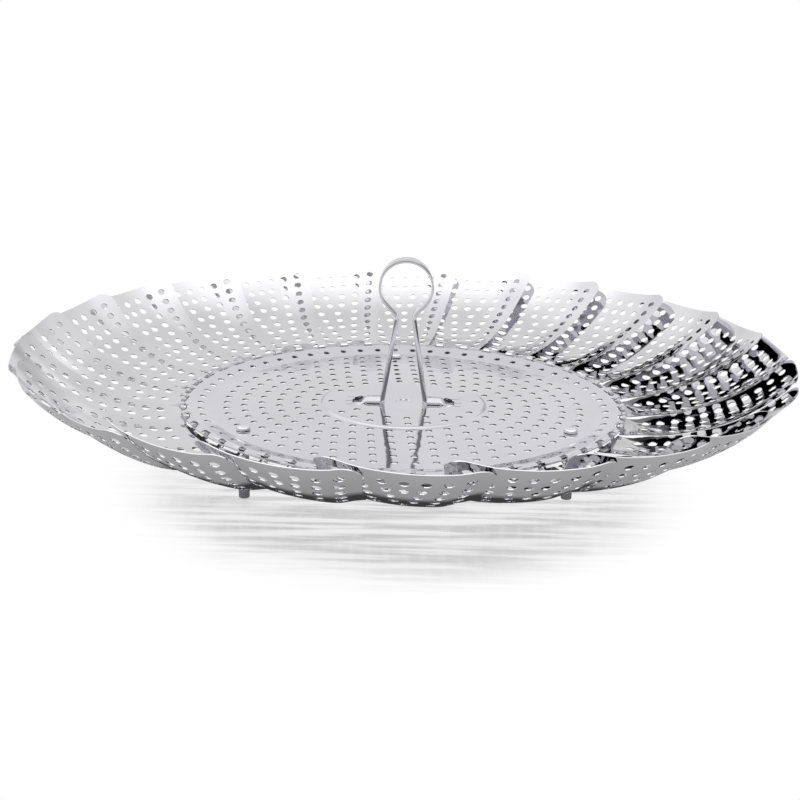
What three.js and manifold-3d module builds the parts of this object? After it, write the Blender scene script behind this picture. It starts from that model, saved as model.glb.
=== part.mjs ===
// Folding steamer basket: a perforated plate on three legs, a ring of overlapping petals that fold up
// about the plate's edge, and a bent strip handle. Millimetres, +Z up, origin on the floor under the centre.
import * as THREE from 'three';
import { mergeGeometries, mergeVertices } from 'three/addons/utils/BufferGeometryUtils.js';
import Module from 'manifold-3d';

const wasm = await Module();
wasm.setup();

// Base plate, a pressed disc: radii are to the flats of its many-sided edge
const PLATE_HEIGHT = 24.6;
const PLATE_SHEET = 0.8;
const PLATE_RADIUS = 81.1;
const BOSS_RADIUS = 30.1;
const BOSS_RISE = 0.7;
const BOSS_SLOPE = 1.0;
const BAND_WIDTH = 10.7;
const BAND_RISE = 1.8;
const BAND_SLOPE = 7.5;

// Holes of the plate: one on each flat of the rising band, rings of holes on the field
const BAND_HOLE_INSET = 7.2;
const BAND_HOLE_SIZE = 4.2;
const FIELD_HOLE_SIZE = 8.8;
const FIELD_RINGS = 4;
const FIELD_PITCH = 12.8;
const FIELD_INSET = 8.6;
const FIELD_SPACING = 18;
const FIELD_TURN = -86.1;
const PLAIN_STRIP = 9;
const PLAIN_LENGTH = 26;
const LEG_MARGIN = 7.5;

// Petals, pressed from sheet: lengths run along the curve from the hinge to the rim
const PETAL_COUNT = 24;
const PETAL_TURN = 90.3;
const PETAL_SHEET = 0.5;
const PETAL_LENGTH = 64.5;
const PETAL_BASE_WIDTH = 19.4;
const PETAL_RIM_WIDTH = 46.8;
const PETAL_CORNER = 5;
const PETAL_CURVE = 66;
const PETAL_START = -5.5;

// Pressing across each petal: a cup, and a tilt that lifts one edge over the next petal
const CUP_RADIUS = 83;
const CUP_RUN = 25;
const BASE_TILT = 0.07;
const RIM_TILT = 0.08;
const TILT_RUN = 6;

// Holes of a petal
const PETAL_COLUMNS = 3;
const PETAL_ROWS = 4;
const PETAL_BASE_MARGIN = 7;
const PETAL_RIM_MARGIN = 6.5;
const PETAL_HOLE_SHARE = 0.62;
const PETAL_STAGGER = 1.6;

// Hinge: two fingers of each petal curl up through slots and over the bar along the plate's edge
const BAR_WIDTH = 1.2;
const FINGER_WIDTH = 4;
const FINGER_CURL = 1.6;
const FINGER_WRAP = 215;
const FINGER_BENDS = 3;
const HINGE_CLEARANCE = 0.5;

// Handle, one strip bent into a finger ring, two legs, two feet and two hooks under the plate
const HANDLE_WIDTH = 7.6;
const HANDLE_SHEET = 1;
const HANDLE_HEIGHT = 54;
const FINGER_RING = 20;
const RING_STEPS = 18;
const NECK_WIDTH = 5.9;
const LEG_SPREAD = 15.4;
const FOOT_LENGTH = 5.2;
const HOOK_DROP = 2.2;
const HOOK_LENGTH = 5;
const FOOT_HOLE_LENGTH = 6;
const FOOT_HOLE_WIDTH = 12;
const SEAT_GAP = 0.1;

// Legs, riveted through the plate
const LEG_COUNT = 3;
const LEG_TURN = 93.3;
const LEG_INSET = 15.9;
const POST_DIAMETER = 3.8;
const FOOT_CHAMFER = 0.5;
const SHANK_DIAMETER = 2.4;
const RIVET_DIAMETER = 5;
const RIVET_HEIGHT = 1.6;
const RIVET_FLAT = 3;
const SHANK_CLEARANCE = 0.3;

// Places that follow the plate's edge
const BAND_RADIUS = PLATE_RADIUS - BAND_WIDTH;
const BAND_HOLE_CIRCLE = PLATE_RADIUS - BAND_HOLE_INSET;
const LEG_CIRCLE = PLATE_RADIUS - LEG_INSET;

// Derived hinge geometry: each flat of the plate's edge carries one finger
const FLATS = 2 * PETAL_COUNT;
const FLAT_ANGLE = 2 * Math.PI / FLATS;
const BAR_RADIUS = PLATE_RADIUS - BAR_WIDTH / 2;
const HINGE_RADIUS = BAR_RADIUS * Math.cos(FLAT_ANGLE / 2);
const HINGE_HEIGHT = PLATE_HEIGHT + BAND_RISE - PLATE_SHEET / 2;
const FINGER_OFFSET = BAR_RADIUS * Math.sin(FLAT_ANGLE / 2);
const BOSS_TOP = PLATE_HEIGHT + BOSS_RISE;
const PUNCH_DEPTH = 4 * (PLATE_SHEET + BOSS_RISE + BAND_RISE);

const rad = THREE.MathUtils.degToRad;
const basket = new THREE.Group();

function steel(name, geometry, color, roughness) {
  const material = new THREE.MeshStandardMaterial({ color, roughness, metalness: 1 });
  const mesh = new THREE.Mesh(geometry, material);
  mesh.name = name;
  return mesh;
}

// Closed geometry to a solid that can be joined and cut, and back
function solidOf(geometry) {
  const bare = geometry.clone();
  bare.deleteAttribute('normal');
  bare.deleteAttribute('uv');
  const merged = mergeVertices(bare, 1e-4);
  return new wasm.Manifold(new wasm.Mesh({
    numProp: 3,
    vertProperties: new Float32Array(merged.attributes.position.array),
    triVerts: new Uint32Array(merged.index.array),
  }));
}

function geometryOf(solid) {
  const mesh = solid.getMesh();
  const geometry = new THREE.BufferGeometry();
  geometry.setAttribute('position', new THREE.BufferAttribute(mesh.vertProperties, 3));
  geometry.setIndex(new THREE.BufferAttribute(mesh.triVerts, 1));
  geometry.computeVertexNormals();
  return geometry;
}

// Profile of radius and height turned about Z, with its flats at the stated radii
function revolve(profile, sides, turn) {
  const toFlats = 1 / Math.cos(Math.PI / sides);
  const points = profile.map(([r, z]) => new THREE.Vector2(r * toFlats, z));
  const geometry = new THREE.LatheGeometry(points, sides);
  geometry.rotateX(Math.PI / 2);
  geometry.rotateZ(turn);
  return geometry;
}

// Upright prism through the plate, used as a punch
function punch(sides, size, x, y, turn) {
  const prism = new THREE.CylinderGeometry(size / 2, size / 2, PUNCH_DEPTH, sides);
  prism.rotateX(Math.PI / 2);
  prism.rotateZ(turn);
  prism.translate(x, y, PLATE_HEIGHT);
  return prism;
}

function slotPunch(length, width, radius, angle) {
  const box = new THREE.BoxGeometry(length, width, PUNCH_DEPTH);
  box.translate(radius, 0, PLATE_HEIGHT);
  box.rotateZ(angle);
  return box;
}

// Base plate
function plateProfile() {
  const top = [
    [0, BOSS_TOP],
    [BOSS_RADIUS - BOSS_SLOPE / 2, BOSS_TOP],
    [BOSS_RADIUS + BOSS_SLOPE / 2, PLATE_HEIGHT],
    [BAND_RADIUS, PLATE_HEIGHT],
    [BAND_RADIUS + BAND_SLOPE, PLATE_HEIGHT + BAND_RISE],
    [PLATE_RADIUS, PLATE_HEIGHT + BAND_RISE],
  ];
  const under = top.map(([r, z]) => [r, z - PLATE_SHEET]);
  return [...under, ...top.reverse()];
}

function legPlaces() {
  return Array.from({ length: LEG_COUNT }, (_, i) => {
    const angle = rad(LEG_TURN) + i * 2 * Math.PI / LEG_COUNT;
    return { x: LEG_CIRCLE * Math.cos(angle), y: LEG_CIRCLE * Math.sin(angle) };
  });
}

function fieldHoles() {
  const holes = [];
  for (let ring = 0; ring < FIELD_RINGS; ring++) {
    const radius = BAND_RADIUS - FIELD_INSET - ring * FIELD_PITCH;
    const count = Math.round(2 * Math.PI * radius / FIELD_SPACING);
    for (let i = 0; i < count; i++) {
      const angle = rad(FIELD_TURN) + i * 2 * Math.PI / count;
      const x = radius * Math.cos(angle);
      const y = radius * Math.sin(angle);
      const atHandle = Math.abs(y) < PLAIN_STRIP && Math.abs(x) < PLAIN_LENGTH;
      const atLeg = legPlaces().some((leg) => Math.hypot(x - leg.x, y - leg.y) < LEG_MARGIN);
      if (!atHandle && !atLeg) {
        holes.push({ x, y, angle });
      }
    }
  }
  return holes;
}

function basePlate() {
  const firstFlat = rad(PETAL_TURN) + FLAT_ANGLE / 2;
  const disc = solidOf(revolve(plateProfile(), FLATS, firstFlat + FLAT_ANGLE / 2));
  const punches = fieldHoles().map(({ x, y, angle }) => punch(4, FIELD_HOLE_SIZE, x, y, angle + Math.PI / 4));
  for (let i = 0; i < FLATS; i++) {
    const angle = firstFlat + i * FLAT_ANGLE;
    const x = BAND_HOLE_CIRCLE * Math.cos(angle);
    const y = BAND_HOLE_CIRCLE * Math.sin(angle);
    punches.push(punch(4, BAND_HOLE_SIZE, x, y, angle));
  }
  const slotLength = FINGER_CURL + PETAL_SHEET / 2 + HINGE_CLEARANCE - BAR_WIDTH / 2;
  const slotRadius = PLATE_RADIUS - BAR_WIDTH - slotLength / 2;
  for (let i = 0; i < FLATS; i++) {
    const width = FINGER_WIDTH + 2 * HINGE_CLEARANCE;
    punches.push(slotPunch(slotLength, width, slotRadius, firstFlat + i * FLAT_ANGLE));
  }
  for (const { x, y } of legPlaces()) {
    punches.push(punch(8, SHANK_DIAMETER + 2 * SHANK_CLEARANCE, x, y, 0));
  }
  const footEnd = LEG_SPREAD / 2 + FOOT_LENGTH;
  for (const angle of [0, Math.PI]) {
    punches.push(slotPunch(FOOT_HOLE_LENGTH, FOOT_HOLE_WIDTH, footEnd + FOOT_HOLE_LENGTH / 2, angle));
  }
  const plain = punches.map((geometry) => {
    const bare = geometry.index ? geometry.toNonIndexed() : geometry;
    bare.deleteAttribute('normal');
    bare.deleteAttribute('uv');
    return bare;
  });
  return geometryOf(disc.subtract(solidOf(mergeGeometries(plain))));
}

// Handle: the strip's middle line on the right side, from the hook under the plate up to the ring
function handleLine() {
  const above = BOSS_TOP + SEAT_GAP + HANDLE_SHEET / 2;
  const below = BOSS_TOP - PLATE_SHEET - SEAT_GAP - HANDLE_SHEET / 2;
  const footEnd = LEG_SPREAD / 2 + FOOT_LENGTH + HANDLE_SHEET;
  const ringRadius = (FINGER_RING - HANDLE_SHEET) / 2;
  const ringHeight = PLATE_HEIGHT + HANDLE_HEIGHT - FINGER_RING / 2;
  const shoulder = ringRadius * Math.SQRT1_2;
  const neck = NECK_WIDTH / 2;
  const right = [
    [footEnd + HOOK_DROP + HOOK_LENGTH, below],
    [footEnd + HOOK_DROP, below],
    [footEnd, above],
    [LEG_SPREAD / 2 + HANDLE_SHEET, above],
    [LEG_SPREAD / 2, above + HANDLE_SHEET],
    [neck, ringHeight - 2 * shoulder + neck],
  ];
  const ring = Array.from({ length: RING_STEPS + 1 }, (_, i) => {
    const angle = -Math.PI / 4 + i / RING_STEPS * 1.5 * Math.PI;
    return [ringRadius * Math.cos(angle), ringHeight + ringRadius * Math.sin(angle)];
  });
  const left = right.map(([x, z]) => [-x, z]).reverse();
  return [...right, ...ring, ...left].map(([x, z]) => new THREE.Vector2(x, z));
}

// Outline of a strip of even thickness along a bent line, mitred at each bend
function stripOutline(line, thickness) {
  const side = (sign) => line.map((point, i) => {
    const before = line[Math.max(i - 1, 0)];
    const after = line[Math.min(i + 1, line.length - 1)];
    const into = point.clone().sub(before).normalize();
    const out = after.clone().sub(point).normalize();
    const along = into.clone().add(out).normalize();
    const straight = into.lengthSq() > 0 ? into : out;
    const reach = thickness / 2 / Math.max(along.dot(straight), 0.5);
    return new THREE.Vector2(-along.y, along.x).multiplyScalar(sign * reach).add(point);
  });
  return new THREE.Shape([...side(1), ...side(-1).reverse()]);
}

function handle() {
  const outline = stripOutline(handleLine(), HANDLE_SHEET);
  const strip = new THREE.ExtrudeGeometry(outline, { depth: HANDLE_WIDTH, bevelEnabled: false });
  strip.rotateX(Math.PI / 2);
  strip.translate(0, HANDLE_WIDTH / 2, 0);
  return strip;
}

// Leg: post, shank through the plate and domed rivet head, turned in one piece
function leg() {
  const post = POST_DIAMETER / 2;
  const shank = SHANK_DIAMETER / 2;
  const shoulder = PLATE_HEIGHT - PLATE_SHEET - SEAT_GAP;
  const seat = PLATE_HEIGHT + SEAT_GAP;
  const dome = RIVET_DIAMETER / 2;
  return revolve([
    [0, 0],
    [post - FOOT_CHAMFER, 0],
    [post, FOOT_CHAMFER],
    [post, shoulder],
    [shank, shoulder],
    [shank, seat],
    [dome, seat],
    [dome, seat + RIVET_HEIGHT / 2],
    [RIVET_FLAT / 2, seat + RIVET_HEIGHT],
    [0, seat + RIVET_HEIGHT],
  ], 10, 0);
}

// Petal blank, flat: u across, growing towards the raised edge, v along from the hinge line to the rim
function halfWidth(v) {
  const share = THREE.MathUtils.clamp(v / PETAL_LENGTH, 0, 1);
  return THREE.MathUtils.lerp(PETAL_BASE_WIDTH, PETAL_RIM_WIDTH, share) / 2;
}

function crossLine(v) {
  return Array.from({ length: PETAL_COLUMNS + 1 }, (_, i) => [halfWidth(v) * (2 * i / PETAL_COLUMNS - 1), v]);
}

// Rim band: a middle cell and two end cells with the rounded corners
function rimCells() {
  const under = crossLine(PETAL_LENGTH - PETAL_RIM_MARGIN);
  const over = crossLine(PETAL_LENGTH);
  const last = PETAL_COLUMNS;
  const start = PETAL_LENGTH - PETAL_CORNER;
  const middle = PETAL_RIM_WIDTH / 2 - PETAL_CORNER;
  const corner = [0, 45, 90].map((degrees) => [
    middle + (halfWidth(start) - middle) * Math.cos(rad(degrees)),
    start + PETAL_CORNER * Math.sin(rad(degrees)),
  ]);
  const mirrored = corner.map(([u, v]) => [-u, v]).reverse();
  const cells = Array.from({ length: last - 2 }, (_, i) => ({
    outline: [under[i + 1], under[i + 2], over[i + 2], over[i + 1]],
  }));
  cells.push({ outline: [under[last - 1], under[last], ...corner, over[last - 1]] });
  cells.push({ outline: [under[0], under[1], over[1], ...mirrored] });
  return cells;
}

// A diamond hole in each cell between two cross lines, shifted sideways by turns from row to row
function rowCells(row) {
  const length = PETAL_LENGTH - PETAL_BASE_MARGIN - PETAL_RIM_MARGIN;
  const low = PETAL_BASE_MARGIN + row / PETAL_ROWS * length;
  const high = PETAL_BASE_MARGIN + (row + 1) / PETAL_ROWS * length;
  const under = crossLine(low);
  const over = crossLine(high);
  const shift = row % 2 ? PETAL_STAGGER / 2 : -PETAL_STAGGER / 2;
  return Array.from({ length: PETAL_COLUMNS }, (_, i) => {
    const outline = [under[i], under[i + 1], over[i + 1], over[i]];
    const u = outline.reduce((sum, point) => sum + point[0], 0) / 4 + shift;
    const v = (low + high) / 2;
    const wide = PETAL_HOLE_SHARE * (halfWidth(low) + halfWidth(high)) / PETAL_COLUMNS / 2;
    const tall = PETAL_HOLE_SHARE * (high - low) / 2;
    const hole = [[u - wide, v], [u, v + tall], [u + wide, v], [u, v - tall]];
    return { outline, hole };
  });
}

function fingerCells(middle) {
  const length = rad(FINGER_WRAP) * FINGER_CURL;
  const half = FINGER_WIDTH / 2;
  return Array.from({ length: FINGER_BENDS }, (_, i) => {
    const high = -i / FINGER_BENDS * length;
    const low = -(i + 1) / FINGER_BENDS * length;
    return { outline: [[middle - half, low], [middle + half, low], [middle + half, high], [middle - half, high]] };
  });
}

// Base band: the hinge line between and beside the two fingers, up to the first row of holes
function baseCells() {
  const over = crossLine(PETAL_BASE_MARGIN);
  const last = PETAL_COLUMNS;
  const inner = FINGER_OFFSET - FINGER_WIDTH / 2;
  const outer = FINGER_OFFSET + FINGER_WIDTH / 2;
  const right = [[inner, 0], [outer, 0], [halfWidth(0), 0]];
  const left = right.map(([u, v]) => [-u, v]).reverse();
  return [
    { outline: [...left, over[1], over[0]] },
    { outline: [left[2], right[0], ...over.slice(1, last).reverse()] },
    { outline: [...right, over[last], over[last - 1]] },
  ];
}

function petalCells() {
  const fingers = [...fingerCells(-FINGER_OFFSET), ...fingerCells(FINGER_OFFSET)];
  const rows = Array.from({ length: PETAL_ROWS }, (_, row) => rowCells(row)).flat();
  return [...fingers, ...baseCells(), ...rows, ...rimCells()];
}

// Press forming: a point of the blank, on its upper (1) or lower (-1) face, goes to its place on the petal
function pressed(u, v, face) {
  const inFinger = v < 0;
  const radius = inFinger ? FINGER_CURL : PETAL_CURVE;
  const slope = rad(PETAL_START) + v / radius;
  const cup = Math.min(Math.max(v, 0) / CUP_RUN, 1);
  const tilt = BASE_TILT * Math.min(Math.max(v, 0) / TILT_RUN, 1) + (RIM_TILT - BASE_TILT) * cup;
  const lift = cup * u * u / (2 * CUP_RADIUS) + tilt * u;
  const start = inFinger ? 0 : PETAL_CURVE - FINGER_CURL;
  const reach = radius - lift - face * PETAL_SHEET / 2;
  const x = HINGE_RADIUS - start * Math.sin(rad(PETAL_START)) + reach * Math.sin(slope);
  const z = HINGE_HEIGHT + start * Math.cos(rad(PETAL_START)) - reach * Math.cos(slope);
  return [x, -u, z];
}

// Cells of a flat blank, given thickness by a forming rule; open edges and holes get their walls
function formedSheet(cells, form) {
  const points = [];
  const places = new Map();
  const triangles = [];
  const place = ([u, v]) => {
    const key = `${u.toFixed(5)} ${v.toFixed(5)}`;
    if (!places.has(key)) {
      places.set(key, points.length);
      points.push([u, v]);
    }
    return places.get(key);
  };
  for (const { outline, hole = [] } of cells) {
    const all = [...outline, ...hole].map(place);
    const rings = [outline, hole].map((ring) => ring.map(([u, v]) => new THREE.Vector2(u, v)));
    for (const face of THREE.ShapeUtils.triangulateShape(rings[0], hole.length ? [rings[1]] : [])) {
      const [a, b, c] = face.map((i) => all[i]);
      const [p, q, r] = [points[a], points[b], points[c]];
      const turn = (q[0] - p[0]) * (r[1] - p[1]) - (q[1] - p[1]) * (r[0] - p[0]);
      triangles.push(turn > 0 ? [a, b, c] : [a, c, b]);
    }
  }
  const edges = new Set();
  for (const [a, b, c] of triangles) {
    edges.add(`${a} ${b}`).add(`${b} ${c}`).add(`${c} ${a}`);
  }
  const count = points.length;
  const index = triangles.flatMap(([a, b, c]) => [a, b, c, count + a, count + c, count + b]);
  for (const edge of edges) {
    const [a, b] = edge.split(' ').map(Number);
    if (!edges.has(`${b} ${a}`)) {
      index.push(b, a, count + a, b, count + a, count + b);
    }
  }
  const position = [...points.map(([u, v]) => form(u, v, 1)), ...points.map(([u, v]) => form(u, v, -1))];
  const geometry = new THREE.BufferGeometry();
  geometry.setAttribute('position', new THREE.Float32BufferAttribute(position.flat(), 3));
  geometry.setIndex(index);
  geometry.computeVertexNormals();
  return geometry;
}

// Assembly: petals run clockwise seen from above, each one's raised edge over the next
basket.add(steel('base_plate', basePlate(), 0xd2d2d6, 0.12));
basket.add(steel('handle', handle(), 0xcfcfd3, 0.1));
const legGeometry = leg();
['leg_back', 'leg_left', 'leg_right'].forEach((name, i) => {
  const post = steel(name, legGeometry, 0xc8c8cc, 0.2);
  const { x, y } = legPlaces()[i];
  post.position.set(x, y, 0);
  basket.add(post);
});
const petalGeometry = formedSheet(petalCells(), pressed);
for (let i = 0; i < PETAL_COUNT; i++) {
  const name = `petal_${String(i + 1).padStart(2, '0')}`;
  const petal = steel(name, petalGeometry, 0xdadade, 0.08);
  petal.rotation.z = rad(PETAL_TURN) - i * 2 * Math.PI / PETAL_COUNT;
  basket.add(petal);
}

export default basket;
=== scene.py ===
import math
import bmesh
import bpy
from mathutils import Matrix, Vector


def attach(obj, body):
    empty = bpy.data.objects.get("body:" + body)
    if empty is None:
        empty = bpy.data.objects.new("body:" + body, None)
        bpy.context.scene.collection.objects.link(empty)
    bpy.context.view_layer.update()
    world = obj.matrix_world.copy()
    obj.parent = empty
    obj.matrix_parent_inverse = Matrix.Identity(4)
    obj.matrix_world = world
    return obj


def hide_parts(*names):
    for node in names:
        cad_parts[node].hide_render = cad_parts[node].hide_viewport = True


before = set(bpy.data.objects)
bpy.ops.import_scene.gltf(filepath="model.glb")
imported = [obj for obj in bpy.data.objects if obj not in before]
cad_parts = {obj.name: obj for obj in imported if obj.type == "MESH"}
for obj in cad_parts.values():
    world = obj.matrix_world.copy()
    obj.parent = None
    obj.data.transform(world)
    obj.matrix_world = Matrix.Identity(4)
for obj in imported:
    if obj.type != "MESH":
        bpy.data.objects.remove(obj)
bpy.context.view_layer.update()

# Sizes are in millimetres
MM = 0.001
PLATE_TOP = 24.6
PLATE_SHEET = 0.45
PLATE_RADIUS = 81.1
BOSS_RADIUS = 30.1
BOSS_RISE = 0.7
BAND_START = 70.4
BAND_END = 77.9
BAND_RISE = 1.8
BAND_HOLE_CIRCLE = 73.9
BAND_HOLES = 62
FIELD_RINGS = 8
FIELD_FIRST = 20.1
FIELD_PITCH = 6.38
FIELD_TURN = -86.1
FIRST_RING_HOLES = 18
HOLES_ADDED = 6
HOLE = 2.5
LIP_DROP = 1.9
FOOT_HOLE_PLACE = 15.9
SHANK_HOLE = 3.0
PUNCH_DEPTH = 6

PETALS = 24
FIRST_PETAL = 90.3
PETAL_SHEET = 0.3
PETAL_LENGTH = 64.4
PETAL_BASE = 19.4
PETAL_RIM = 46.8
PETAL_CORNER = 5.0
PETAL_CURVE = 66.0
PETAL_START = math.radians(-5.5)
CUP_RADIUS = 83.0
CUP_RUN = 25.0
BASE_TILT = 0.07
RIM_TILT = 0.08
TILT_RUN = 6.0
FREE_EDGE_LIFT = 0.7
HIDDEN_EDGE_LIFT = 1.25
HIDDEN_EDGE_WIDTH = 2.4
PETAL_HOLE = 2.95
PETAL_HOLE_ROWS = 11
PETAL_ROW_PITCH = 5.1
PETAL_COLUMN_PITCH = 6.0
PETAL_RIM_MARGIN = 5.6
PETAL_SIDE_MARGIN = 4.3
PETAL_PAIR_LIMIT = 2.5
PETAL_MIDDLE_LIMIT = -1.3

EDGE_BAR = 1.2
HINGE_CLEARANCE = 0.5
SLOT_CLEARANCE = 0.7
BAR_RADIUS = PLATE_RADIUS - EDGE_BAR / 2
HINGE_RADIUS = BAR_RADIUS * math.cos(math.pi / (2 * PETALS))
HINGE_HEIGHT = 26.0
FINGER_OFFSET = BAR_RADIUS * math.sin(math.pi / (2 * PETALS))
FINGER_WIDTH = 2.8
FINGER_CURL = 1.6
FINGER_WRAP = math.radians(215)

HANDLE_WIDTH = 7.6
HANDLE_SHEET = 1.6
RING_RADIUS = 9.5
RING_HEIGHT = 68.6
NECK = (2.95, 58.11)
STRIP_LEG_END = 26.9
FOOT_HEIGHT = 25.9
THICK_SPAN = (26.8, 56.95)
THIN_SHARE = 0.52

LEG_CIRCLE = 65.2
LEG_TURN = 93.3

CAMERA_DISTANCE = 453
CAMERA_DROP = math.radians(17.19)
CAMERA_ROLL = math.radians(1.49)
PICTURE_WIDTH = 800
PICTURE_SHIFT = (-3.4, 3.2)


# Camera at the photograph's viewing angle, aimed at the middle of the plate
def set_camera():
    data = bpy.data.cameras.new("photo_camera")
    camera = bpy.data.objects.new("photo_camera", data)
    bpy.context.collection.objects.link(camera)
    data.sensor_width = 36
    data.lens = 55.1
    data.clip_start = 0.02
    data.shift_x = PICTURE_SHIFT[0] / PICTURE_WIDTH
    data.shift_y = PICTURE_SHIFT[1] / PICTURE_WIDTH
    spot = Vector((0, 0, PLATE_TOP * MM))
    back = Vector((0, -math.cos(CAMERA_DROP), math.sin(CAMERA_DROP)))
    place = spot + CAMERA_DISTANCE * MM * back
    turn = Matrix.Rotation(math.pi / 2 - CAMERA_DROP, 4, "X") @ Matrix.Rotation(CAMERA_ROLL, 4, "Z")
    camera.matrix_world = Matrix.Translation(place) @ turn
    bpy.context.scene.camera = camera


set_camera()
bpy.context.scene.view_settings.view_transform = "Standard"


# Bench work: one piece is active at a time
def start(primitive, name, **sizes):
    if bpy.context.mode != "OBJECT":
        bpy.ops.object.mode_set(mode="OBJECT")
    bpy.ops.object.select_all(action="DESELECT")
    primitive(**sizes)
    piece = bpy.context.object
    piece.name = name
    piece.data.name = name
    return piece


def edit(piece):
    bpy.ops.object.mode_set(mode="OBJECT")
    bpy.ops.object.select_all(action="DESELECT")
    piece.select_set(True)
    bpy.context.view_layer.objects.active = piece
    bpy.ops.object.mode_set(mode="EDIT")


def done():
    bpy.ops.object.mode_set(mode="OBJECT")


def pick(piece, kind, chosen):
    bpy.ops.mesh.select_mode(type={"verts": "VERT", "edges": "EDGE", "faces": "FACE"}[kind])
    bpy.ops.mesh.select_all(action="DESELECT")
    mesh = bmesh.from_edit_mesh(piece.data)
    for part in getattr(mesh, kind):
        if chosen(part):
            part.select_set(True)
    mesh.select_flush_mode()
    bmesh.update_edit_mesh(piece.data)


def middle(part):
    return sum((v.co for v in part.verts), Vector()) / len(part.verts)


def pull(x, y, z):
    bpy.ops.mesh.extrude_region_move(TRANSFORM_OT_translate={"value": (x * MM, y * MM, z * MM)})


def finish_with(piece, kind, **settings):
    done()
    bpy.context.view_layer.objects.active = piece
    modifier = piece.modifiers.new(kind.lower(), kind)
    for name, value in settings.items():
        setattr(modifier, name, value)
    bpy.ops.object.modifier_apply(modifier=modifier.name)


def punch_out(piece, punches):
    finish_with(piece, "BOOLEAN", operation="DIFFERENCE", solver="EXACT", object=punches)
    bpy.data.objects.remove(punches)


def smooth(piece, angle):
    done()
    bpy.ops.object.select_all(action="DESELECT")
    piece.select_set(True)
    bpy.context.view_layer.objects.active = piece
    bpy.ops.object.shade_smooth_by_angle(angle=math.radians(angle))


def portion(value, begin, run):
    return min(max((value - begin) / run, 0), 1)


def ease(share):
    share = portion(share, 0, 1)
    return share * share * (3 - 2 * share)


# Round punches standing upright, one tool with many pins
def round_punches(name, places, size, height, depth, sides):
    first = places[0]
    tool = start(bpy.ops.mesh.primitive_cylinder_add, name, vertices=sides, radius=size / 2 * MM,
                 depth=depth * MM, location=(0, 0, 0))
    pin = tool.data
    pin.transform(Matrix.Translation((first[0] * MM, first[1] * MM, height * MM)))
    mesh = bmesh.new()
    for place in places:
        mesh.from_mesh(pin)
        step = Vector(((place[0] - first[0]) * MM, (place[1] - first[1]) * MM, 0))
        bmesh.ops.translate(mesh, verts=mesh.verts[-len(pin.vertices):], vec=step)
    mesh.to_mesh(pin)
    mesh.free()
    return tool


# Petal: flat blank, X across and Y along from the hinge to the rim
def half_width(v):
    return (PETAL_BASE + (PETAL_RIM - PETAL_BASE) * portion(v, 0, PETAL_LENGTH)) / 2


def petal_holes():
    places = []
    for row in range(PETAL_HOLE_ROWS):
        v = PETAL_LENGTH - PETAL_RIM_MARGIN - PETAL_ROW_PITCH * row
        outer = half_width(v) - PETAL_SIDE_MARGIN
        column = 0
        while outer - PETAL_COLUMN_PITCH * column >= PETAL_PAIR_LIMIT:
            u = outer - PETAL_COLUMN_PITCH * column
            places.extend([(u, v), (-u, v)])
            column += 1
        if outer - PETAL_COLUMN_PITCH * column > PETAL_MIDDLE_LIMIT:
            places.append((0, v))
    return places


def press_point(u, v, h):
    in_finger = v < 0
    radius = FINGER_CURL if in_finger else PETAL_CURVE
    slope = PETAL_START + v / radius
    cup = portion(v, 0, CUP_RUN)
    tilt = BASE_TILT * portion(v, 0, TILT_RUN) + (RIM_TILT - BASE_TILT) * cup
    across = u / half_width(v)
    free_edge = FREE_EDGE_LIFT * portion(v, 0, 10) * ease((across - 0.45) / 0.55)
    hidden = ease((-across - 0.6) / 0.4)
    fading = portion(v, 3, 7) - 0.44 * portion(v, 25, 39)
    hidden_edge = HIDDEN_EDGE_LIFT * fading * hidden
    u -= HIDDEN_EDGE_WIDTH * ease((v - 3) / 5) * (1 - v / PETAL_LENGTH) * hidden
    lift = cup * u * u / (2 * CUP_RADIUS) + tilt * u + free_edge + hidden_edge
    begin = 0 if in_finger else PETAL_CURVE - FINGER_CURL
    reach = radius - lift - h
    x = HINGE_RADIUS - begin * math.sin(PETAL_START) + reach * math.sin(slope)
    z = HINGE_HEIGHT + begin * math.cos(PETAL_START) - reach * math.cos(slope)
    return Vector((x, -u, z)) * MM


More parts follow.
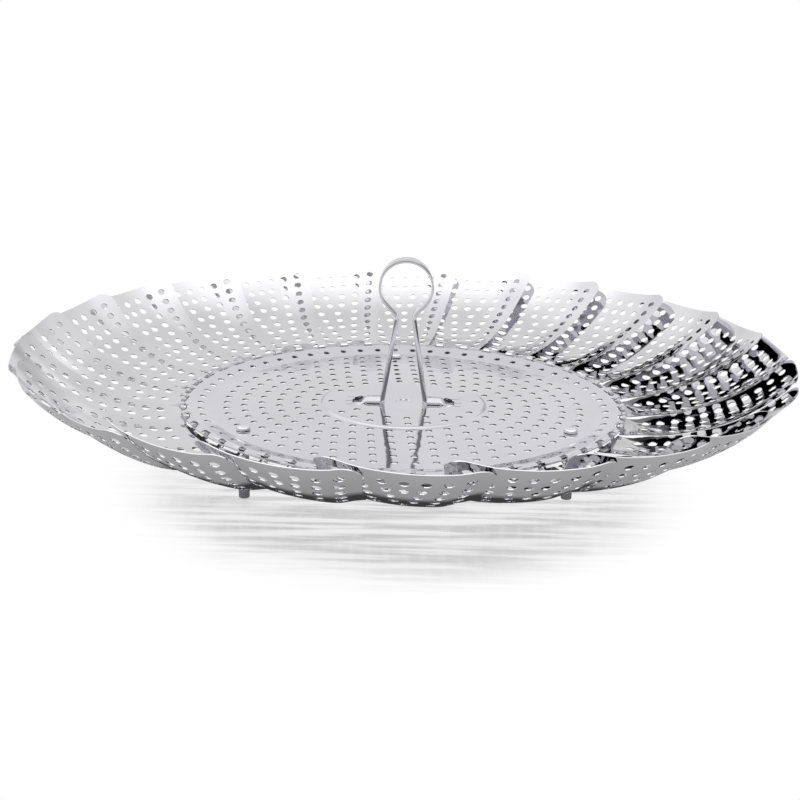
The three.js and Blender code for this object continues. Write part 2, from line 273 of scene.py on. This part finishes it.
def petal_master():
    length = PETAL_LENGTH * MM
    blank = start(bpy.ops.mesh.primitive_plane_add, "petal_master", size=length, location=(0, length / 2, 0))
    bpy.ops.object.transform_apply(location=True)
    edit(blank)
    pick(blank, "verts", lambda v: v.co.y > length / 2)
    bpy.ops.transform.resize(value=(PETAL_RIM / PETAL_LENGTH, 1, 1), center_override=(0, length, 0))
    bpy.ops.mesh.bevel(affect="VERTICES", offset=PETAL_CORNER * MM, segments=6)
    pick(blank, "verts", lambda v: v.co.y < 1e-6)
    bpy.ops.transform.resize(value=(PETAL_BASE / PETAL_LENGTH, 1, 1), center_override=(0, 0, 0))
    inner, outer = FINGER_OFFSET - FINGER_WIDTH / 2, FINGER_OFFSET + FINGER_WIDTH / 2
    for u in [0, 1.8, inner, FINGER_OFFSET, outer, 9.2, 12, 14.5, 17, 19.5, 21.6]:
        for side in ({u, -u}):
            bpy.ops.mesh.select_all(action="SELECT")
            bpy.ops.mesh.bisect(plane_co=(side * MM, 0, 0), plane_no=(1, 0, 0))
    for row in range(1, 27):
        bpy.ops.mesh.select_all(action="SELECT")
        bpy.ops.mesh.bisect(plane_co=(0, row * 2.4 * MM, 0), plane_no=(0, 1, 0))
    pick(blank, "edges", lambda e: (all(v.co.y < 1e-6 for v in e.verts)
                                    and inner * MM < abs(middle(e).x) < outer * MM))
    bends = 10
    for bend in range(bends):
        pull(0, -FINGER_WRAP * FINGER_CURL / bends, 0)
    finish_with(blank, "SOLIDIFY", thickness=PETAL_SHEET * MM, offset=0)
    punch_out(blank, round_punches("petal_punches", petal_holes(), PETAL_HOLE, 0, 3, 16))
    for v in blank.data.vertices:
        v.co = press_point(v.co.x / MM, v.co.y / MM, v.co.z / MM)
    edit(blank)
    bpy.ops.mesh.select_all(action="SELECT")
    bpy.ops.mesh.normals_make_consistent(inside=False)
    smooth(blank, 40)
    return blank


def copies(master, names, turns, places):
    made = []
    for name, turn, place in zip(names, turns, places):
        bpy.ops.object.select_all(action="DESELECT")
        master.select_set(True)
        bpy.context.view_layer.objects.active = master
        bpy.ops.object.duplicate()
        piece = bpy.context.object
        piece.name = name
        piece.data.name = name
        piece.rotation_euler.z = turn
        piece.location = place
        bpy.ops.object.transform_apply(location=True, rotation=True)
        made.append(piece)
    bpy.data.objects.remove(master)
    return made


# Base plate: a disc with rings of edges where the press bends it
def bend(over, half):
    return max(over, 0) if abs(over) > half else (over + half) ** 2 / (4 * half)


def plate_lift(r):
    boss = BOSS_RISE * (1 - ease((r - BOSS_RADIUS + 0.7) / 1.4))
    band = (bend(r - BAND_START, 0.7) - bend(r - BAND_END, 0.7)) * BAND_RISE / (BAND_END - BAND_START)
    dimple = -0.3 * (1 - ease((r - 2.7) / 0.4))
    return boss + band + dimple


def leg_places():
    turns = [math.radians(LEG_TURN + 120 * i) for i in range(3)]
    return [(LEG_CIRCLE * math.cos(a), LEG_CIRCLE * math.sin(a)) for a in turns]


def plate_holes():
    places = []
    for ring in range(FIELD_RINGS):
        radius, count = FIELD_FIRST + FIELD_PITCH * ring, FIRST_RING_HOLES + HOLES_ADDED * ring
        for i in range(count):
            a = math.radians(FIELD_TURN) + i * 2 * math.pi / count
            x, y = radius * math.cos(a), radius * math.sin(a)
            at_handle = abs(y) < 9.5 and abs(x) < 26
            plain = ring == 0 and y > -6
            at_leg = any(math.hypot(x - lx, y - ly) < 4.6 for lx, ly in leg_places())
            if not (at_handle or plain or at_leg):
                places.append((x, y))
    for i in range(BAND_HOLES):
        a = math.radians(FIRST_PETAL) + (i + 0.5) * 2 * math.pi / BAND_HOLES
        places.append((BAND_HOLE_CIRCLE * math.cos(a), BAND_HOLE_CIRCLE * math.sin(a)))
    return places


# Square and six-sided punches: each tool's pins stand clear of each other
def shaped_punches(name, primitive, pins, **shape):
    tool = start(bpy.ops.mesh.primitive_cube_add, name, size=MM)
    edit(tool)
    bpy.ops.mesh.delete(type="VERT")
    for x, y, long, wide, turn in pins:
        bpy.ops.mesh.select_all(action="DESELECT")
        primitive(location=(x * MM, y * MM, PLATE_TOP * MM), rotation=(0, 0, turn),
                  scale=(long, wide, PUNCH_DEPTH), **shape)
    done()
    return tool


def hinge_slots():
    length = FINGER_CURL + PETAL_SHEET / 2 + HINGE_CLEARANCE - EDGE_BAR / 2
    radius = PLATE_RADIUS - EDGE_BAR - length / 2
    turns = [math.radians(FIRST_PETAL) + (i + 0.5) * math.pi / PETALS for i in range(2 * PETALS)]
    width = FINGER_WIDTH + SLOT_CLEARANCE
    return [(radius * math.cos(a), radius * math.sin(a), length, width, a) for a in turns]


def foot_slits():
    return [(side * x, y, long, 0.3, side * turn) for side in (1, -1)
            for x, y, long, turn in ((19.0, 4.2, 4.2, 0.35), (19.8, -0.6, 3.2, 0.0), (19.0, -4.6, 4.0, -0.2))]


def base_plate():
    plate = start(bpy.ops.mesh.primitive_circle_add, "plate_dressed", vertices=88, radius=PLATE_RADIUS * MM,
                  fill_type="NGON", location=(0, 0, (PLATE_TOP - PLATE_SHEET / 2) * MM))
    bpy.ops.object.transform_apply(location=True)
    edit(plate)
    bpy.ops.mesh.select_all(action="SELECT")
    rings = [80.8, 78.6, 78.2, 77.9, 77.6, 77.2, 71.1, 70.8, 70.5, 70.2, 69.9, 69.7]
    rings += [31.0, 30.8, 30.6, 30.35, 30.1, 29.85, 29.6, 29.4, 29.2, 3.2, 3.05, 2.9, 2.75, 2.6]
    last = PLATE_RADIUS
    for ring in rings:
        bpy.ops.mesh.inset(thickness=(last - ring) * MM * math.cos(math.pi / 88))
        last = ring
    finish_with(plate, "SOLIDIFY", thickness=PLATE_SHEET * MM, offset=0)
    edit(plate)
    pick(plate, "faces", lambda f: f.normal.z < -0.9 and 77.2 < middle(f).xy.length / MM < 77.6)
    pull(0, 0, -LIP_DROP)
    punch_out(plate, round_punches("round_punches", plate_holes(), HOLE, PLATE_TOP, PUNCH_DEPTH, 14))
    punch_out(plate, round_punches("shank_punches", leg_places(), SHANK_HOLE, PLATE_TOP, PUNCH_DEPTH, 20))
    punch_out(plate, shaped_punches("slot_punches", bpy.ops.mesh.primitive_cube_add, hinge_slots(), size=MM))
    feet = [(side * FOOT_HOLE_PLACE, 0, 2.9 / math.cos(math.pi / 6), 6, 0) for side in (1, -1)]
    punch_out(plate, shaped_punches("foot_punches", bpy.ops.mesh.primitive_cylinder_add, feet,
                                    vertices=6, radius=MM, depth=MM))
    punch_out(plate, shaped_punches("slit_punches", bpy.ops.mesh.primitive_cube_add, foot_slits(), size=MM))
    # Walls hung below the back edge of each foot hole, put there so the holes read dark: their front faces
    # reflect the painted shadow on the floor under the basket
    stops = shaped_punches("foot_hole_shade_walls", bpy.ops.mesh.primitive_cube_add,
                           [(side * FOOT_HOLE_PLACE, 5.6, 6.6, 0.4, 0) for side in (1, -1)], size=MM)
    for v in stops.data.vertices:
        v.co.z = (PLATE_TOP - (0.25 if v.co.z > PLATE_TOP * MM else 2.7)) * MM
    finish_with(plate, "BOOLEAN", operation="UNION", solver="EXACT", object=stops)
    bpy.data.objects.remove(stops)
    for v in plate.data.vertices:
        v.co.z += plate_lift(v.co.xy.length / MM) * MM
    smooth(plate, 30)
    return plate


# Handle: a ring with straight flanks, legs, feet and hooks, all one bent strip
def bent_strip():
    strip = start(bpy.ops.mesh.primitive_circle_add, "handle_dressed", vertices=64, radius=RING_RADIUS * MM,
                  location=(0, -HANDLE_WIDTH / 2 * MM, RING_HEIGHT * MM), rotation=(math.pi / 2, 0, 0))
    bpy.ops.object.transform_apply(location=True, rotation=True)
    edit(strip)
    corner = RING_RADIUS * math.sqrt(0.5) * MM
    pick(strip, "verts", lambda v: v.co.z - RING_HEIGHT * MM < -corner - 1e-6)
    bpy.ops.mesh.delete(type="VERT")
    for side in (1, -1):
        stops = [(RING_RADIUS * math.sqrt(0.5), RING_HEIGHT - RING_RADIUS * math.sqrt(0.5)), NECK,
                 (7.7, STRIP_LEG_END), (8.7, FOOT_HEIGHT), (13.9, FOOT_HEIGHT), (16.1, 23.9), (21.1, 23.9)]
        end = Vector((side * stops[0][0], 0, stops[0][1])) * MM
        pick(strip, "verts", lambda v: (v.co.xz - end.xz).length < 0.02 * MM)
        for (x0, z0), (x1, z1) in zip(stops, stops[1:]):
            pull(side * (x1 - x0), 0, z1 - z0)
    bpy.ops.mesh.select_mode(type="EDGE")
    bpy.ops.mesh.select_all(action="SELECT")
    pull(0, HANDLE_WIDTH, 0)
    bends = [(*NECK, 1.3), (8.7, FOOT_HEIGHT, 0.6), (13.9, FOOT_HEIGHT, 0.9), (16.1, 23.9, 0.9)]
    for x, z, offset in bends:
        spot = Vector((x, z)) * MM
        pick(strip, "edges", lambda e: all((Vector((abs(v.co.x), v.co.z)) - spot).length < 0.05 * MM
                                           for v in e.verts))
        bpy.ops.mesh.bevel(affect="EDGES", offset=offset * MM, segments=5)
    bpy.ops.mesh.select_all(action="SELECT")
    bpy.ops.mesh.normals_make_consistent(inside=False)
    done()
    gauge = strip.vertex_groups.new(name="gauge")
    for v in strip.data.vertices:
        in_leg = THICK_SPAN[0] < v.co.z / MM < THICK_SPAN[1]
        gauge.add([v.index], 1.0 if in_leg else THIN_SHARE, "REPLACE")
    finish_with(strip, "SOLIDIFY", thickness=HANDLE_SHEET * MM, offset=0, use_even_offset=True,
                vertex_group="gauge")
    finish_with(strip, "BEVEL", width=0.14 * MM, segments=2, limit_method="ANGLE",
                angle_limit=math.radians(50))
    smooth(strip, 40)
    return strip


# Leg: a turned post drawn up ring by ring from the foot to the rivet head
def turned_leg():
    post = [(1.4, 0), (1.75, 0.15), (1.9, 0.5), (1.9, 23.6), (1.75, 24.0), (1.2, 24.1), (1.2, 24.7)]
    head = [(2.35, 24.7), (2.5, 24.85), (2.5, 25.3), (2.38, 25.7), (2.05, 26.02), (1.5, 26.23), (0.8, 26.3)]
    profile = post + head
    leg = start(bpy.ops.mesh.primitive_circle_add, "leg_master", vertices=32, radius=profile[0][0] * MM,
                fill_type="NGON", location=(0, 0, 0))
    edit(leg)
    bpy.ops.mesh.select_all(action="SELECT")
    for (r0, z0), (r1, z1) in zip(profile, profile[1:]):
        pull(0, 0, z1 - z0)
        bpy.ops.transform.resize(value=(r1 / r0, r1 / r0, 1), center_override=(0, 0, z1 * MM))
    bpy.ops.mesh.select_all(action="SELECT")
    bpy.ops.mesh.normals_make_consistent(inside=False)
    smooth(leg, 35)
    return leg


# Shader helpers: a soft step, simple sums and a strip of tones
def smooth_step(nodes, links, value, low, high, first, last):
    step = nodes.new("ShaderNodeMapRange")
    step.interpolation_type = "SMOOTHSTEP"
    step.inputs["From Min"].default_value = min(low, high)
    step.inputs["From Max"].default_value = max(low, high)
    step.inputs["To Min"].default_value = first if low < high else last
    step.inputs["To Max"].default_value = last if low < high else first
    links.new(value, step.inputs["Value"])
    return step.outputs["Result"]


def combine(nodes, links, operation, first, second):
    node = nodes.new("ShaderNodeMath")
    node.operation = operation
    for socket, value in zip(node.inputs, (first, second)):
        if isinstance(value, float):
            socket.default_value = value
        else:
            links.new(value, socket)
    return node.outputs[0]


def ramp(nodes, links, value, tones):
    strip = nodes.new("ShaderNodeValToRGB")
    strip.color_ramp.interpolation = "EASE"
    while len(strip.color_ramp.elements) < len(tones):
        strip.color_ramp.elements.new(1.0)
    for stop, (position, tone) in zip(strip.color_ramp.elements, tones):
        stop.position = position
        stop.color = (tone, tone, tone, 1)
    links.new(value, strip.inputs["Fac"])
    return strip.outputs["Color"]


def height_on_piece(nodes, links):
    spot = nodes.new("ShaderNodeTexCoord")
    split = nodes.new("ShaderNodeSeparateXYZ")
    links.new(spot.outputs["Object"], split.inputs["Vector"])
    return split.outputs["Z"]


# Finish shared by every piece: slow waves of the pressing, faint polish lines and a few wiped marks
def polish_group():
    group = bpy.data.node_groups.new("steel_polish", "ShaderNodeTree")
    face = group.interface
    for name, value in (("Wave Size", 60.0), ("Line Size", 900.0), ("Gloss", 0.1), ("Wipe", 0.06)):
        socket = face.new_socket(name=name, in_out="INPUT", socket_type="NodeSocketFloat")
        socket.default_value = value
    face.new_socket(name="Tint", in_out="INPUT", socket_type="NodeSocketColor")
    face.new_socket(name="Color", in_out="OUTPUT", socket_type="NodeSocketColor")
    face.new_socket(name="Roughness", in_out="OUTPUT", socket_type="NodeSocketFloat")
    face.new_socket(name="Height", in_out="OUTPUT", socket_type="NodeSocketFloat")
    nodes, links = group.nodes, group.links
    given = nodes.new("NodeGroupInput")
    result = nodes.new("NodeGroupOutput")
    coordinates = nodes.new("ShaderNodeTexCoord")

    waves = nodes.new("ShaderNodeTexNoise")
    waves.inputs["Detail"].default_value = 1.0
    links.new(coordinates.outputs["Object"], waves.inputs["Vector"])
    links.new(given.outputs["Wave Size"], waves.inputs["Scale"])

    stretch = nodes.new("ShaderNodeMapping")
    stretch.inputs["Scale"].default_value = (1.0, 0.06, 0.3)
    links.new(coordinates.outputs["Object"], stretch.inputs["Vector"])
    lines = nodes.new("ShaderNodeTexNoise")
    lines.inputs["Detail"].default_value = 3.0
    links.new(stretch.outputs["Vector"], lines.inputs["Vector"])
    links.new(given.outputs["Line Size"], lines.inputs["Scale"])

    wiped = nodes.new("ShaderNodeTexNoise")
    wiped.inputs["Scale"].default_value = 28.0
    wiped.inputs["Detail"].default_value = 4.0
    wiped.inputs["Distortion"].default_value = 0.8
    links.new(coordinates.outputs["Object"], wiped.inputs["Vector"])

    line_share = nodes.new("ShaderNodeMath")
    line_share.operation = "MULTIPLY_ADD"
    line_share.inputs[1].default_value = 0.03
    links.new(lines.outputs["Fac"], line_share.inputs[0])
    links.new(given.outputs["Gloss"], line_share.inputs[2])
    wipe_share = nodes.new("ShaderNodeMath")
    wipe_share.operation = "MULTIPLY_ADD"
    links.new(wiped.outputs["Fac"], wipe_share.inputs[0])
    links.new(given.outputs["Wipe"], wipe_share.inputs[1])
    links.new(line_share.outputs[0], wipe_share.inputs[2])
    links.new(wipe_share.outputs[0], result.inputs["Roughness"])

    tone = nodes.new("ShaderNodeMapRange")
    tone.inputs["From Min"].default_value = 0.3
    tone.inputs["From Max"].default_value = 0.7
    tone.inputs["To Min"].default_value = 0.95
    tone.inputs["To Max"].default_value = 1.03
    links.new(wiped.outputs["Fac"], tone.inputs["Value"])
    shade = nodes.new("ShaderNodeVectorMath")
    shade.operation = "SCALE"
    links.new(given.outputs["Tint"], shade.inputs[0])
    links.new(tone.outputs["Result"], shade.inputs["Scale"])
    links.new(shade.outputs["Vector"], result.inputs["Color"])

    height = nodes.new("ShaderNodeMath")
    height.operation = "MULTIPLY_ADD"
    height.inputs[1].default_value = 0.01
    links.new(lines.outputs["Fac"], height.inputs[0])
    links.new(waves.outputs["Fac"], height.inputs[2])
    links.new(height.outputs[0], result.inputs["Height"])
    return group


POLISH = polish_group()


def steel(name, tint, gloss, wipe, wave_size, line_size, depth):
    material = bpy.data.materials.new(name)
    material.use_nodes = True
    nodes, links = material.node_tree.nodes, material.node_tree.links
    shader = nodes["Principled BSDF"]
    shader.inputs["Metallic"].default_value = 1.0
    polish = nodes.new("ShaderNodeGroup")
    polish.name = "polish"
    polish.node_tree = POLISH
    polish.inputs["Tint"].default_value = (*tint, 1)
    polish.inputs["Gloss"].default_value = gloss
    polish.inputs["Wipe"].default_value = wipe
    polish.inputs["Wave Size"].default_value = wave_size
    polish.inputs["Line Size"].default_value = line_size
    links.new(polish.outputs["Color"], shader.inputs["Base Color"])
    links.new(polish.outputs["Roughness"], shader.inputs["Roughness"])
    bump = nodes.new("ShaderNodeBump")
    bump.inputs["Strength"].default_value = 0.5
    bump.inputs["Distance"].default_value = depth * MM
    links.new(polish.outputs["Height"], bump.inputs["Height"])
    links.new(bump.outputs["Normal"], shader.inputs["Normal"])
    return material


petal_finish = steel("petal_polish", (0.70, 0.695, 0.722), 0.01, 0.02, 60, 900, 0.025)
plate_finish = steel("plate_polish", (0.69, 0.683, 0.721), 0.03, 0.03, 150, 1100, 0.18)


# The posts are left as turned, and their rivet heads above the plate are polished
def turned_steel():
    material = steel("leg_turning", (0.78, 0.775, 0.805), 0.42, 0.06, 200, 2600, 0.02)
    nodes, links = material.node_tree.nodes, material.node_tree.links
    height = height_on_piece(nodes, links)
    below, above = (PLATE_TOP - 0.4) * MM, PLATE_TOP * MM
    metal = smooth_step(nodes, links, height, below, above, 0.4, 1.0)
    links.new(metal, nodes["Principled BSDF"].inputs["Metallic"])
    gloss = smooth_step(nodes, links, height, below, above, 0.42, 0.03)
    links.new(gloss, nodes["polish"].inputs["Gloss"])
    return material


# The strip's feet, which lie flat on the plate, carry a painted highlight: their tint is raised up to 1.55
# times
def strip_steel():
    tint = (0.60, 0.594, 0.627)
    material = steel("handle_polish_and_painted_highlight", tint, 0.05, 0.06, 120, 1400, 0.05)
    nodes, links = material.node_tree.nodes, material.node_tree.links
    height = height_on_piece(nodes, links)
    # Painted highlight: the tint grows brighter from the end of the legs down to the feet
    foot_highlight = nodes.new("ShaderNodeVectorMath")
    foot_highlight.operation = "SCALE"
    foot_highlight.inputs[0].default_value = tint
    share = smooth_step(nodes, links, height, STRIP_LEG_END * MM, (FOOT_HEIGHT + 0.5) * MM, 1.0, 1.55)
    links.new(share, foot_highlight.inputs["Scale"])
    links.new(foot_highlight.outputs["Vector"], nodes["polish"].inputs["Tint"])
    return material


handle_finish = strip_steel()
leg_finish = turned_steel()


# Pieces in their places
def place(piece, node, body, finish, slot):
    piece.data.materials.clear()
    piece.data.materials.append(finish)
    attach(piece, body)
    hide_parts(node)


place(base_plate(), "base_plate", "base", plate_finish, "plate_steel")
place(bent_strip(), "handle", "base", handle_finish, "handle_steel")
leg_names = ["leg_back", "leg_left", "leg_right"]
leg_spots = [Vector((x, y, 0)) * MM for x, y in leg_places()]
for leg, node in zip(copies(turned_leg(), [n + "_turned" for n in leg_names], [0] * 3, leg_spots), leg_names):
    place(leg, node, "base", leg_finish, "leg_steel")
petal_names = ["petal_%02d" % (i + 1) for i in range(PETALS)]
petal_turns = [math.radians(FIRST_PETAL - 360 / PETALS * i) for i in range(PETALS)]
pressed = copies(petal_master(), [n + "_pressed" for n in petal_names], petal_turns, [Vector()] * PETALS)
for petal, node in zip(pressed, petal_names):
    place(petal, node, node, petal_finish, "petal_steel")


# Floor, soft light from above and a pale room
def floor():
    sheet = start(bpy.ops.mesh.primitive_plane_add, "floor", size=8, location=(0, 0, 0))
    material = bpy.data.materials.new("pale_floor")
    material.use_nodes = True
    nodes, links = material.node_tree.nodes, material.node_tree.links
    shader = nodes["Principled BSDF"]
    shader.inputs["Base Color"].default_value = (0.93, 0.93, 0.935, 1)
    shader.inputs["Roughness"].default_value = 0.45
    spot = nodes.new("ShaderNodeTexCoord")
    away = nodes.new("ShaderNodeVectorMath")
    away.operation = "LENGTH"
    links.new(spot.outputs["Object"], away.inputs[0])
    scaled = combine(nodes, links, "MULTIPLY", away.outputs["Value"], 5.0)
    path = nodes.new("ShaderNodeLightPath")
    # Painted light: to the camera the floor glows white, which covers most of its real shadow; the glow is
    # weakest about 86 mm from the middle, so more real shadow shows there, and full beyond about 108 mm
    seen = ramp(nodes, links, scaled, [(0.0, 0.90), (0.3, 0.88), (0.43, 0.84), (0.5, 0.97), (0.54, 1.0)])
    seen = combine(nodes, links, "MULTIPLY", seen, path.outputs["Is Camera Ray"])
    # Painted shadow for reflections: to glossy rays the floor glows with a painted tone, near black under the
    # basket and white further out; to the camera the same emission is the white backdrop glow
    painted_shadow_in_reflections = ramp(nodes, links, scaled, [(0.0, 0.03), (0.43, 0.05), (0.50, 0.38), (0.68, 0.50), (1.0, 1.0)])
    tone = combine(nodes, links, "MAXIMUM", painted_shadow_in_reflections, path.outputs["Is Camera Ray"])
    share = combine(nodes, links, "MAXIMUM", seen, path.outputs["Is Glossy Ray"])
    backdrop_glow_and_painted_shadow = nodes.new("ShaderNodeEmission")
    links.new(tone, backdrop_glow_and_painted_shadow.inputs["Color"])
    mix = nodes.new("ShaderNodeMixShader")
    links.new(share, mix.inputs["Fac"])
    links.new(shader.outputs["BSDF"], mix.inputs[1])
    links.new(backdrop_glow_and_painted_shadow.outputs["Emission"], mix.inputs[2])

    stretch = nodes.new("ShaderNodeMapping")
    stretch.inputs["Scale"].default_value = (20, 230, 1)
    links.new(spot.outputs["Object"], stretch.inputs["Vector"])
    ripples = nodes.new("ShaderNodeTexNoise")
    ripples.inputs["Scale"].default_value = 1.0
    links.new(stretch.outputs["Vector"], ripples.inputs["Vector"])
    bump = nodes.new("ShaderNodeBump")
    bump.inputs["Strength"].default_value = 0.6
    bump.inputs["Distance"].default_value = 0.25 * MM
    links.new(ripples.outputs["Fac"], bump.inputs["Height"])
    gloss = nodes.new("ShaderNodeBsdfAnisotropic")
    gloss.inputs["Roughness"].default_value = 0.1
    links.new(bump.outputs["Normal"], gloss.inputs["Normal"])
    near = smooth_step(nodes, links, away.outputs["Value"], 0.115, 0.075, 0.0, 1.0)
    streaks = smooth_step(nodes, links, ripples.outputs["Fac"], 0.38, 0.62, 0.06, 0.36)
    near = combine(nodes, links, "MULTIPLY", near, streaks)
    near = combine(nodes, links, "MULTIPLY", near, path.outputs["Is Camera Ray"])
    polished = nodes.new("ShaderNodeMixShader")
    links.new(near, polished.inputs["Fac"])
    links.new(mix.outputs["Shader"], polished.inputs[1])
    links.new(gloss.outputs["BSDF"], polished.inputs[2])
    links.new(polished.outputs["Shader"], nodes["Material Output"].inputs["Surface"])
    sheet.data.materials.append(material)


def softbox(name, place, aim, size, power):
    data = bpy.data.lights.new(name, "AREA")
    data.shape = "RECTANGLE"
    data.size, data.size_y = size
    data.energy = power
    lamp = bpy.data.objects.new(name, data)
    bpy.context.collection.objects.link(lamp)
    lamp.location = place
    lamp.rotation_euler = (Vector(aim) - Vector(place)).to_track_quat("-Z", "Y").to_euler()
    lamp.visible_glossy = False


def room():
    world = bpy.data.worlds.new("pale_room")
    bpy.context.scene.world = world
    world.use_nodes = True
    nodes, links = world.node_tree.nodes, world.node_tree.links
    direction = nodes.new("ShaderNodeTexCoord")
    split = nodes.new("ShaderNodeSeparateXYZ")
    links.new(direction.outputs["Generated"], split.inputs["Vector"])
    x, y, z = (split.outputs[axis] for axis in "XYZ")

    # Walls brighten to the back, and the ceiling is brightest over the front
    walls = smooth_step(nodes, links, y, -0.45, 0.3, 0.35, 0.88)
    above = smooth_step(nodes, links, y, 0.42, -0.35, 0.0, 1.1)
    high = smooth_step(nodes, links, z, 0.5, 0.75, 0.0, 1.0)
    ceiling = combine(nodes, links, "MULTIPLY", above, high)

    # Soft windows at both sides
    aside = combine(nodes, links, "ABSOLUTE", x, 0.0)
    aside = smooth_step(nodes, links, aside, 0.15, 0.45, 0.0, 0.22)
    raised = smooth_step(nodes, links, z, 0.36, 0.62, 0.0, 1.0)
    window = combine(nodes, links, "MULTIPLY", aside, raised)

    # The right wall is darker, with a dark low corner and a bright strip towards the back
    right = smooth_step(nodes, links, x, 0.12, 0.34, 1.0, 0.84)
    walls = combine(nodes, links, "MULTIPLY", walls, right)
    corner = smooth_step(nodes, links, x, 0.14, 0.30, 0.0, 0.2)
    corner = combine(nodes, links, "MULTIPLY", corner, smooth_step(nodes, links, z, 0.40, 0.22, 0.0, 1.0))
    walls = combine(nodes, links, "SUBTRACT", walls, corner)
    strip = smooth_step(nodes, links, x, 0.12, 0.30, 0.0, 0.45)
    for axis, begin, end in ((z, 0.33, 0.48), (y, 0.74, 0.86)):
        part = smooth_step(nodes, links, axis, begin, end, 0.0, 1.0)
        strip = combine(nodes, links, "MULTIPLY", strip, part)
    walls = combine(nodes, links, "ADD", walls, strip)

    light = combine(nodes, links, "ADD", walls, ceiling)
    light = combine(nodes, links, "ADD", light, window)
    seen = nodes.new("ShaderNodeLightPath")
    whole = combine(nodes, links, "MAXIMUM", light, seen.outputs["Is Camera Ray"])
    links.new(whole, nodes["Background"].inputs["Color"])


floor()
softbox("overhead_softbox", (0, -0.25, 1.3), (0, 0, 0), (1.4, 0.9), 6)
room()
